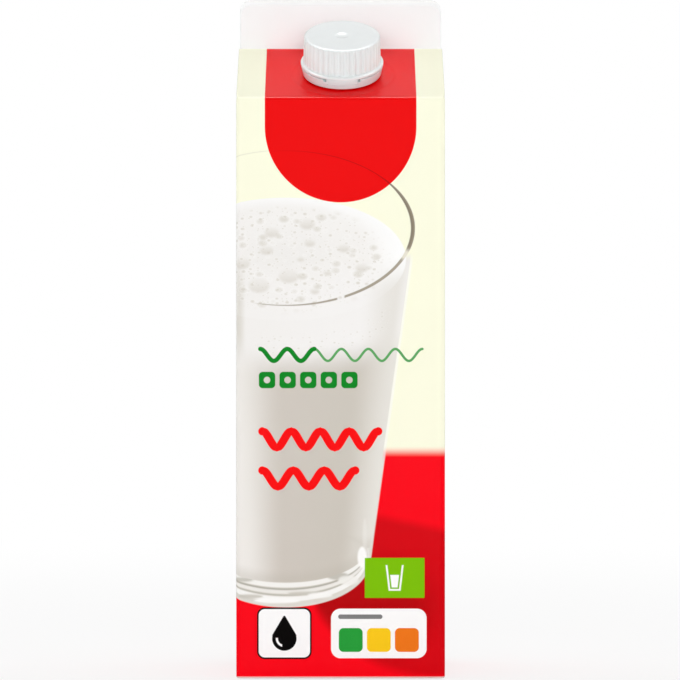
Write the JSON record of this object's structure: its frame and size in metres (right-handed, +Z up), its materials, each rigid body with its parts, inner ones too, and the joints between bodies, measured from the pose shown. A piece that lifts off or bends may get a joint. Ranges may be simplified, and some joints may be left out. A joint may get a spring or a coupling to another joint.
{
  "type": "gable-top buttermilk carton",
  "caption": "Sealed square gable-top board carton of buttermilk, with a ribbed white screw cap and tamper band on its front roof panel.",
  "frame": {"origin": "centre of the footprint, on the surface that the pack stands on", "axes": "+Z up, -Y towards the front panel with the cap above it, +X to the right as seen from the front"},
  "size_m": [0.07, 0.0718, 0.2304],
  "materials": {
    "printed_board": "smooth coated board with a satin sheen, printed in cream with a red tongue, a red lower field and a picture of a full glass",
    "cap_plastic": "moulded white plastic with a soft sheen",
    "spout_plastic": "natural white moulded plastic"
  },
  "bodies": {
    "root": {"carton": "printed_board", "screw_cap": "cap_plastic", "spout": "spout_plastic"}
  },
  "joints": []
}
